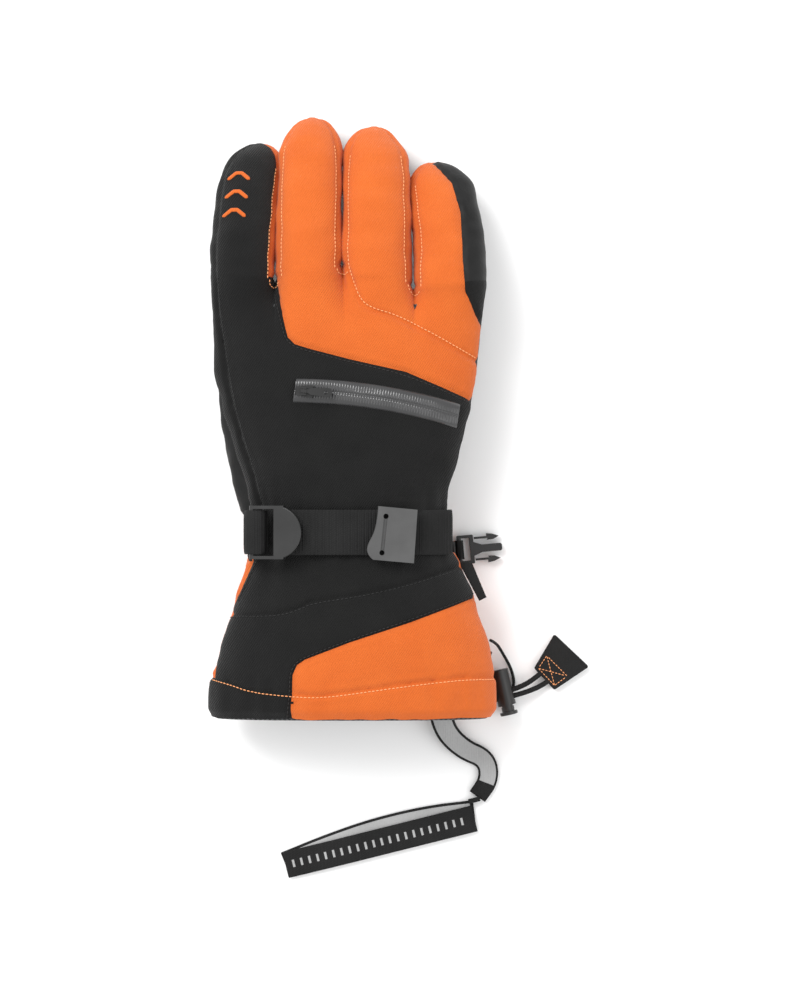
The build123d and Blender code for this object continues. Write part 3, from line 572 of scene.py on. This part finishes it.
PANELS = {  # panel: finish, material slot, the nodes it stands for
    "hem_casing": (black_cloth, "black_shell", ["hem_casing"]),
    "hem_casing_colour": (orange_cloth, "colour_shell", ["hem_casing_colour"]),
    "cuff_palm_panel": (orange_cloth, "colour_shell", ["cuff_palm_panel", "wrist_elastic"]),
    "palm_panel": (leather, "palm_leather", ["palm_panel", "palm_patch"]),
    "palm_edge": (black_cloth, "black_shell", []),
    "knuckle_panel": (orange_cloth, "colour_shell", ["knuckle_panel"]),
    "cuff_colour_panel": (orange_cloth, "colour_shell", ["cuff_colour_panel"]),
    "cuff_back_panel": (black_cloth, "black_shell", ["cuff_back_panel"]),
    "back_panel": (black_cloth, "black_shell", ["back_panel", "pocket_bag"]),
}
for name, (paint, material_slot, nodes) in PANELS.items():
    sew(name + "_cloth", panels[name], paint, nodes)
for name in FINGERS:
    dark = name == "index"
    sew(
        name + "_back_cloth", panels[name + "_back"], black_cloth if dark else orange_cloth,
        [name + "_back"], name,
    )
    sew(name + "_palm_cloth", panels[name + "_palm"], leather, [name + "_palm"], name)
    sew(
        name + "_side_walls_cloth", panels[name + "_side_walls"], orange_cloth,
        [name + "_side_walls", name + "_liner"], name,
    )
sew("index_wrap_cloth", panels["index_wrap"], black_cloth, [], "index")
sew("little_wrap_cloth", panels["little_wrap"], leather, [], "little")

# ------------------------------------------------------------------ lining
# A brushed knit tube with the wadding behind it, seen through the open cuff. It turns out over
# the wadding at the hem, where the casing closes over its edge.
def tube_mesh(name, rings, paint, closed_end=False, closed_start=False):
    """A piece through rings of points, in millimetres, each ring with as many points."""
    count = len(rings[0])
    places = [Vector(p) * MM for ring in rings for p in ring]
    faces = [
        (r * count + i, r * count + (i + 1) % count, (r + 1) * count + (i + 1) % count, (r + 1) * count + i)
        for r in range(len(rings) - 1)
        for i in range(count)
    ]
    if closed_end:
        faces.append([(len(rings) - 1) * count + i for i in range(count)])
    if closed_start:
        faces.append(list(range(count))[::-1])
    return piece_from(name, places, faces, paint)


AROUND = 96


def hand_ring(y, inset, drop=0.0):
    """Points round the hand's oval at y, moved in by inset."""
    ring = []
    for i in range(AROUND):
        turn = 2 * pi * i / AROUND
        half, tall = between(HAND, y, 2) - inset, (between(HAND, y, 4) - between(HAND, y, 3)) / 2 - inset
        middle = (between(HAND, y, 4) + between(HAND, y, 3)) / 2
        ring.append(
            (
                between(HAND, y, 1) + half * rounded(cos(turn), 2 / SQUARE),
                y - drop,
                middle + tall * rounded(sin(turn), 2 / SQUARE),
            )
        )
    return ring


rings = [hand_ring(-32.6, 0.4), hand_ring(-33.0, 0.9, 0.5), hand_ring(-33.0, 1.9, 1.1)]
rings += [hand_ring(-33.0, 3.2, 1.2), hand_ring(-33.0, 4.4, 0.8)]
rings += [hand_ring(-32.2, 5.2), hand_ring(-30.5, 5.6)]
rings += [hand_ring(y, 5.8 + 0.25 * sin(y)) for y in range(-28, 175, 4)]
lining = tube_mesh("lining_tube", rings, lining_knit, closed_end=True)
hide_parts("hand_lining", "hand_wadding")
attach(lining, "glove")

# ------------------------------------------------------------------ thumb
# The padded leather thumb, folded under the palm with its gusset, resting on the surface.
THUMB = [  # y, middle x, middle z, half width, half height
    (60, -41.0, 12.0, 4.0, 5.0), (64, -41.0, 12.0, 11.0, 9.0), (70, -41.5, 11.2, 14.0, 9.6),
    (80, -43.0, 10.4, 15.5, 9.9),
    (92, -45.0, 10.2, 16.2, 9.8), (106, -47.4, 10.2, 16.6, 9.8), (120, -49.0, 10.2, 17.0, 9.8),
    (136, -50.4, 10.2, 17.0, 9.8), (150, -50.6, 10.0, 16.0, 9.6), (160, -50.4, 9.7, 14.2, 9.2),
    (168, -50.0, 9.3, 11.4, 8.2),
    (173, -49.6, 9.0, 7.6, 6.2), (175, -49.3, 8.9, 3.2, 3.0),
]
rings = []
for step in range(0, 61):
    y = 60.0 + 115.0 * step / 60
    ring = []
    for i in range(64):
        turn = -2 * pi * i / 64
        a, b = between(THUMB, y, 3), between(THUMB, y, 4)
        p = Vector(
            (
                between(THUMB, y, 1) + a * rounded(cos(turn), 0.85),
                y,
                between(THUMB, y, 2) + b * rounded(sin(turn), 0.85),
            )
        )
        out = Vector((cos(turn), 0, sin(turn)))
        ease = 1.0 if 66 < y < 170 else 0.3
        p += out * ease * (0.9 * wrinkle(p, (14, 9, 12), 7.7) + 0.4 * wrinkle(p, (6, 5, 6), 1.2))
        p.z = min(max(p.z, 0.3), 19.6)
        ring.append(p)
    rings.append(ring)
rings = [ring[::-1] for ring in rings]
thumb = tube_mesh("thumb_cloth", rings, leather, closed_end=True)
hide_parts("thumb_back", "thumb_palm", "thumb_liner", "thumb_gusset")
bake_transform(thumb)

# ------------------------------------------------------------------ plastic and metal parts
# Moulded acetal lock, clip and cord lock, the soft-touch pull tab and the painted slider.
for name, paint in (
    ("strap_lock", gloss_plastic), ("pull_tab", tab_plastic), ("zip_slider", gloss_plastic),
    ("zip_puller", gloss_plastic), ("zip_stop", gloss_plastic), ("buckle_frame", gloss_plastic),
    ("buckle_prong_outer", gloss_plastic), ("buckle_prong_inner", gloss_plastic),
    ("lock_barrel", gloss_plastic), ("lock_plunger", gloss_plastic), ("lock_spring", spring_steel),
    ("strap_fold", webbing_cloth), ("buckle_web", webbing_cloth),
    ("side_label", webbing_cloth), ("end_tab", webbing_cloth), ("leash_tack", webbing_cloth),
):
    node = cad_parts[name]
    node.data.materials.clear()
    node.data.materials.append(paint)

# ------------------------------------------------------------------ wrist strap
# Ribbed polyester webbing over the back of the wrist. It is sewn into the little-finger side,
# turns back through the lock and ends under the moulded pull tab.
def band(name, middles, across, widths, thick, paint, rib=0.0, pitch=1.15):
    """A flat woven band along a line of points, in millimetres, with ribs across it."""
    rings, travelled = [], 0.0
    for i, middle in enumerate(middles):
        before, after = middles[max(0, i - 1)], middles[min(len(middles) - 1, i + 1)]
        along = (after - before).normalized()
        wide = (across[i] - along * across[i].dot(along)).normalized()
        up = wide.cross(along)
        if i:
            travelled += (middle - before).length
        half = thick / 2 + rib * sin(2 * pi * travelled / pitch)
        rings.append(
            [
                middle
                + wide * (widths[i] / 2 * rounded(cos(2 * pi * k / 24), 0.45))
                + up * (half * rounded(sin(2 * pi * k / 24), 0.8))
                for k in range(24)
            ]
        )
    piece = tube_mesh(name, rings, paint, closed_end=True, closed_start=True)
    tidy = bmesh.new()
    tidy.from_mesh(piece.data)
    bmesh.ops.recalc_face_normals(tidy, faces=tidy.faces)
    tidy.to_mesh(piece.data)
    tidy.free()
    return piece


def evenly(points, step, rounds=3):
    """A line of points with its corners eased, then spaced evenly."""
    line = [Vector(p) for p in points]
    for _ in range(rounds):
        eased = [line[0]]
        for a, b in zip(line, line[1:]):
            eased += [a.lerp(b, 0.25), a.lerp(b, 0.75)]
        line = eased + [line[-1]]
    lengths = [0.0]
    for a, b in zip(line, line[1:]):
        lengths.append(lengths[-1] + (b - a).length)
    count = max(2, round(lengths[-1] / step))
    spaced, at = [], 0
    for i in range(count + 1):
        want = lengths[-1] * i / count
        while at < len(line) - 2 and lengths[at + 1] < want:
            at += 1
        share = (want - lengths[at]) / max(1e-9, lengths[at + 1] - lengths[at])
        spaced.append(line[at].lerp(line[at + 1], min(1.0, share)))
    return spaced


ACROSS_Y = Vector((0, 1, 0))
wrist = hand_ring(59.0, -1.5)
over_wrist = [Vector((x, 59.0, z)) for x, _, z in wrist if z > 36.5 and x > -31.0]
over_wrist.sort(key=lambda p: p.x)
for name, points, width, thick, body in (
    ("strap_base", over_wrist, 22.5, 1.3, "glove"),
    (
        "strap_tail",
        [(-31.2, 59, 57.3), (-22.0, 59, 56.6), (-8.0, 59, 56.5), (6.0, 59, 56.5), (26.0, 59, 56.0)],
        22.5, 1.15, "strap_end",
    ),
    (
        "strap_anchor",
        [
            (-52.2, 59, 39.0), (-52.0, 59, 46.0), (-51.2, 59, 55.0), (-48.4, 59, 57.7), (-44.0, 59, 57.6),
            (-41.6, 59, 55.0), (-41.6, 59, 53.4), (-40.4, 59, 52.6),
        ],
        21.7, 1.1, "glove",
    ),
):
    middles = evenly(points, 0.28, 2)
    web = band(
        name + "_webbing", middles, [ACROSS_Y] * len(middles), [width] * len(middles), thick,
        webbing_cloth, 0.13,
    )
    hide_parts(name)
    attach(web, body)

# ------------------------------------------------------------------ zip
# A water-resistant zip set across the back of the hand: two coated tapes that meet over the
# coil, whose teeth press through them as ribs.
ZIP_START, ZIP_END, ZIP_SAG = Vector((-27.0, 129.0)), Vector((54.0, 116.5)), 3.0


def over_cloth(x, y, lift=0.0):
    """The point of the outer cloth straight below a plan point, raised by lift."""
    place, normal = surface.ray_cast(Vector((x, y, 90.0)), Vector((0, 0, -1)))[:2]
    return (place + Vector((0, 0, lift)), normal) if place else (None, None)


ZIP_ROWS, ZIP_COLUMNS = 250, 24
along_zip = (ZIP_END - ZIP_START).normalized()
across_zip = Vector((-along_zip.y, along_zip.x))
places, faces = [], []
for i in range(ZIP_ROWS + 1):
    t = i / ZIP_ROWS
    spine = ZIP_START.lerp(ZIP_END, t) + across_zip * (ZIP_SAG * 4 * t * (1 - t))
    for j in range(ZIP_COLUMNS + 1):
        v = 2 * j / ZIP_COLUMNS - 1
        plan = spine + across_zip * (6.0 * v)
        puff = 1.5 * (1 - v**6) - 0.75 * exp(-((v / 0.07) ** 2))
        puff += 0.16 * sin(2 * pi * t * 82 / 1.35) * (1 if 0.08 < abs(v) < 0.62 else 0.15)
        place = over_cloth(plan.x, plan.y)[0] or Vector((plan.x, plan.y, 40.0))
        places.append((place + Vector((0, 0, puff - 0.05))) * MM)
across = ZIP_COLUMNS + 1
for i in range(ZIP_ROWS):
    for j in range(ZIP_COLUMNS):
        a = i * across + j
        faces.append((a, a + across, a + across + 1, a + 1))
zip_tapes = piece_from("zip_tapes", places, faces, coated_tape)
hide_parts("zip_tape", "zip_coil")
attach(zip_tapes, "glove")

# ------------------------------------------------------------------ topstitching
# Bonded polyester thread in a lockstitch. It is orange along the fingers, the knuckle seam and
# the hem, and black on the cuff and the leather.
def stitch_mesh(name, routes, paint, body="glove", pitch=2.0, radius=0.27):
    """Rows of stitches along routes of (point, normal) pairs, each a short thread that dips at its ends."""
    places, faces = [], []
    for route in routes:
        lengths = [0.0]
        for (a, _), (b, _) in zip(route, route[1:]):
            lengths.append(lengths[-1] + (b - a).length)

        def at(distance):
            k = 0
            while k < len(route) - 2 and lengths[k + 1] < distance:
                k += 1
            share = (distance - lengths[k]) / max(1e-9, lengths[k + 1] - lengths[k])
            return route[k][0].lerp(route[k + 1][0], share), route[k][1].lerp(route[k + 1][1], share)

        for s in range(int(lengths[-1] / pitch)):
            base = len(places)
            for n in range(6):
                share = n / 5
                middle, normal = at(pitch * (s + 0.14 + 0.72 * share))
                ahead = at(pitch * (s + 0.2 + 0.72 * share))[0]
                along = (ahead - middle).normalized()
                wide = along.cross(normal).normalized()
                bulge = sin(pi * (0.08 + 0.84 * share))
                lift = middle + normal.normalized() * (0.05 + 0.26 * bulge)
                for k in range(6):
                    turn = 2 * pi * k / 6
                    size = radius * (0.35 + 0.65 * bulge)
                    places.append((lift + (wide * cos(turn) + normal * sin(turn)) * size) * MM)
            for n in range(5):
                for k in range(6):
                    a, b = base + n * 6 + k, base + n * 6 + (k + 1) % 6
                    faces.append((a, b, b + 6, a + 6))
            faces.append([base + k for k in range(6)][::-1])
            faces.append([base + 30 + k for k in range(6)])
    piece = piece_from(name, places, faces, paint)
    if body == "glove":
        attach(piece, "glove")
    else:
        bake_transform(piece)
    return piece


def beside(line, offset, low=-1000.0, high=1000.0):
    """A route on the cloth beside a plan line, offset to its left, between two heights of y."""
    plan = evenly([(x, y, 0) for x, y in line], 0.8, 2)
    route = []
    for before, here, after in zip(plan, plan[1:], plan[2:]):
        along = (after - before).normalized()
        x, y = here.x - along.y * offset, here.y + along.x * offset
        place, normal = over_cloth(x, y)
        if place is not None and normal.z > 0.15 and low < y < high:
            route.append((place, normal))
    return route


def on_skin(f, v, row):
    place, normal = surface.find_nearest(skin_point(f, v, row, 1))[:2]
    return place, normal


FINGER_STITCHED = 50  # rows up a finger that its rows of stitches run
glove_rows = [beside(SEAMS["knuckle_inner"], 1.3), beside(SEAMS["hem"], -1.2)]
for f in range(3):
    u_turn = []
    for k in range(13):
        turn = pi * k / 12
        reach, drop = WALL * cos(turn) / COLUMNS, 3.4 * sin(turn)
        finger, v = (f, 1 - reach) if reach > 0 else (f + 1, -reach)
        u_turn.append(on_skin(finger, v, HAND_ROWS - drop))
    glove_rows.append(u_turn)
stitch_mesh("knuckle_and_hem_stitching", glove_rows, orange_thread)
for f, name in enumerate(FINGERS):
    columns = ([] if f == 0 else [WALL + 1.2]) + ([] if f == 3 else [COLUMNS - WALL - 1.2])
    finger_rows = [
        [on_skin(f, column / COLUMNS, row) for row in range(HAND_ROWS, HAND_ROWS + FINGER_STITCHED)]
        for column in columns
    ]
    stitch_mesh(name + "_stitching", finger_rows, orange_thread, name)
black_rows = [
    beside(SEAMS["cuff_join"], -1.3), beside(SEAMS["thumb_side"], 1.4, 24.0, 186.0),
    beside(SEAMS["knuckle"], -1.5, 118.0, 184.0), beside(SEAMS["cuff_colour"], 1.3),
]
stitch_mesh("black_stitching", black_rows, black_thread, pitch=2.2)

# ------------------------------------------------------------------ index-finger emblem
# Three plain raised chevrons, moulded in orange rubber and heat-bonded to the index finger.
places, faces = [], []
for tier in range(3):
    y = 215.5 + 9.5 * tier
    low_end, high_end = (-63.0 + 1.1 * tier, y, 0), (-51.6 + 0.9 * tier, y, 0)
    crease = evenly([low_end, (-57.2 + 1.0 * tier, y + 4.6, 0), high_end], 0.5, 1)
    base = len(places)
    for i, plan in enumerate(crease):
        place, normal = over_cloth(plan.x, plan.y)
        along = (crease[min(i + 1, len(crease) - 1)] - crease[max(i - 1, 0)]).normalized()
        wide = along.cross(normal).normalized()
        ends = min(1.0, min(i, len(crease) - 1 - i) / 2.0 + 0.25)
        for k in range(10):
            turn = 2 * pi * k / 10
            places.append((place + wide * (1.05 * ends * cos(turn)) + normal * (0.55 * sin(turn) + 0.1)) * MM)
    for i in range(len(crease) - 1):
        for k in range(10):
            a, b = base + i * 10 + k, base + i * 10 + (k + 1) % 10
            faces.append((a, b, b + 10, a + 10))
    faces.append([base + k for k in range(10)][::-1])
    faces.append([len(places) - 10 + k for k in range(10)])
emblem = piece_from("index_chevrons", places, faces, orange_cloth)
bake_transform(emblem)

# ------------------------------------------------------------------ drawcord, keeper and end tab
# Two strands of round braided cord leave the hem, pass through the cord lock and are sewn into
# a folded tab. A narrow keeper cord loops from the cuff round the lock.
LOCK_PLACE = Vector((78.0, -23.5, 6.4))
ALONG = Vector((0.974, 0.2267, 0))
BARREL = Vector((0.2267, -0.974, 0))
STRAND_SPREAD = 1.55


def braid(name, points, diameter):
    """A round cord along a smooth curve through the same points as the real one is routed by."""
    data = bpy.data.curves.new(name, "CURVE")
    data.dimensions = "3D"
    spline = data.splines.new("NURBS")
    spline.points.add(len(points) - 1)
    for knot, point in zip(spline.points, points):
        knot.co = (*(Vector(point) * MM), 1.0)
    spline.order_u = 3
    spline.use_endpoint_u = True
    spline.resolution_u = 12
    data.bevel_depth = diameter / 2 * MM
    data.bevel_resolution = 4
    data.use_fill_caps = True
    data.materials.append(webbing_cloth)
    strand = bpy.data.objects.new(name, data)
    bpy.context.scene.collection.objects.link(strand)
    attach(strand, "glove")
    return strand


def beside_lock(along, side):
    return LOCK_PLACE + ALONG * along + BARREL * (STRAND_SPREAD * side)


upper_strand = braid(
    "drawcord_upper_strand",
    [(60.4, -25.0, 6.9), beside_lock(-9.4, -1), beside_lock(8.8, -1), (96.4, -13.2, 2.0), (101.0, -8.6, 1.9)],
    2.6,
)
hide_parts("drawcord_upper")
lower_strand = braid(
    "drawcord_lower_strand",
    [(60.4, -28.6, 6.9), beside_lock(-9.4, 1), beside_lock(8.8, 1), (98.4, -18.6, 2.0), (103.2, -14.2, 1.9)],
    2.6,
)
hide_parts("drawcord_lower")
keeper = braid(
    "keeper_strand",
    [
        (70.4, 4.6, 24.0), (73.6, 3.0, 13.5), (77.2, -3.0, 3.6), (81.4, -10.4, 1.0), (83.2, -18.0, 0.8),
        (80.6, -25.4, 0.8), (74.6, -26.8, 0.8), (70.6, -20.4, 1.9), (69.0, -12.0, 6.4), (69.6, -5.6, 13.6),
        (70.5, -1.6, 21.5),
    ],
    1.5,
)
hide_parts("cord_keeper")

TAB_CORNERS = [Vector((93.0, -10.3)), Vector((103.2, -21.3)), Vector((103.3, 7.1)), Vector((120.8, -9.5))]


def on_tab(along, across):
    """A point on top of the end tab, from its narrow end (0) to its wide one (1)."""
    narrow = TAB_CORNERS[0].lerp(TAB_CORNERS[1], across)
    wide = TAB_CORNERS[2].lerp(TAB_CORNERS[3], across)
    flat = narrow.lerp(wide, along)
    return Vector((flat.x, flat.y, 3.3)), Vector((0, 0, 1))


BOX = [(0.08, 0.12), (0.08, 0.88), (0.46, 0.88), (0.46, 0.12), (0.08, 0.12), (0.46, 0.88)]
tab_routes = [[on_tab(*a), on_tab(*b)] for a, b in zip(BOX, BOX[1:])]
tab_routes.append([on_tab(0.08, 0.88), on_tab(0.46, 0.12)])
stitch_mesh("end_tab_stitching", tab_routes, orange_thread, pitch=1.7, radius=0.2)

# ------------------------------------------------------------------ wrist leash
# Elastic webbing 13.5 mm wide with a pale face between dark edges. The lead comes out of the
# cuff, and a loop of the same band is bar-tacked to its end.
leash_pale = finish(
    "leash_face", (0.30, 0.30, 0.30), (0.40, 0.40, 0.40),
    weave, {"Threads": 5200.0, "Twill": 1.0, "Roughen": 0.4},
    0.75, 0.4, 0.0002,
)
UP = Vector((0, 0, 1))


def leash_band(name, points, widths, marks):
    """An elastic band flat on its path, with a row of pale woven blocks along its face."""
    middles = evenly(points, 0.6)
    across = []
    for i, here in enumerate(middles):
        along = (middles[min(i + 1, len(middles) - 1)] - middles[max(i - 1, 0)]).normalized()
        across.append(along.cross(UP).normalized())
    wide = [
        widths[0] + (widths[1] - widths[0]) * i / (len(middles) - 1) for i in range(len(middles))
    ]
    strip = band(name, middles, across, wide, 1.2, webbing_cloth, 0.05, 1.0)
    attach(strip, "glove")
    blocks = []
    first, step, run, inner = marks
    at = first
    while at + run < len(middles):
        piece = band(
            f"{name}_block_{len(blocks)}", [m + UP * 0.62 for m in middles[at : at + run]],
            across[at : at + run], [w * inner for w in wide[at : at + run]], 0.2, leash_pale,
        )
        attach(piece, "glove")
        blocks.append(piece)
        at += step
    return strip


lead = leash_band(
    "leash_lead_band",
    [
        (42.0, 8.0, 15.6), (43.6, -10.0, 13.6), (44.6, -27.0, 13.2), (47.4, -41.6, 7.2),
        (57.0, -51.4, 2.4), (68.8, -56.2, 1.7), (70.4, -66.6, 1.7), (64.2, -75.4, 1.8),
    ],
    (13.5, 9.5), (2, 156, 148, 0.78),
)
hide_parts("leash_lead")
front = leash_band(
    "leash_loop_front",
    [(62.8, -86.4, 2.4), (38.0, -92.6, 2.4), (14.0, -98.6, 2.4), (-10.0, -104.6, 2.4), (-33.0, -110.2, 1.6)],
    (13.5, 13.5), (10, 7, 3, 0.28),
)
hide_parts("leash_loop")
leash_band(
    "leash_loop_back",
    [(62.8, -84.0, 0.8), (40.0, -86.6, 0.8), (14.0, -92.6, 0.8), (-10.0, -100.8, 0.8), (-33.0, -110.2, 0.8)],
    (13.5, 13.5), (3, 170, 150, 0.8),
)
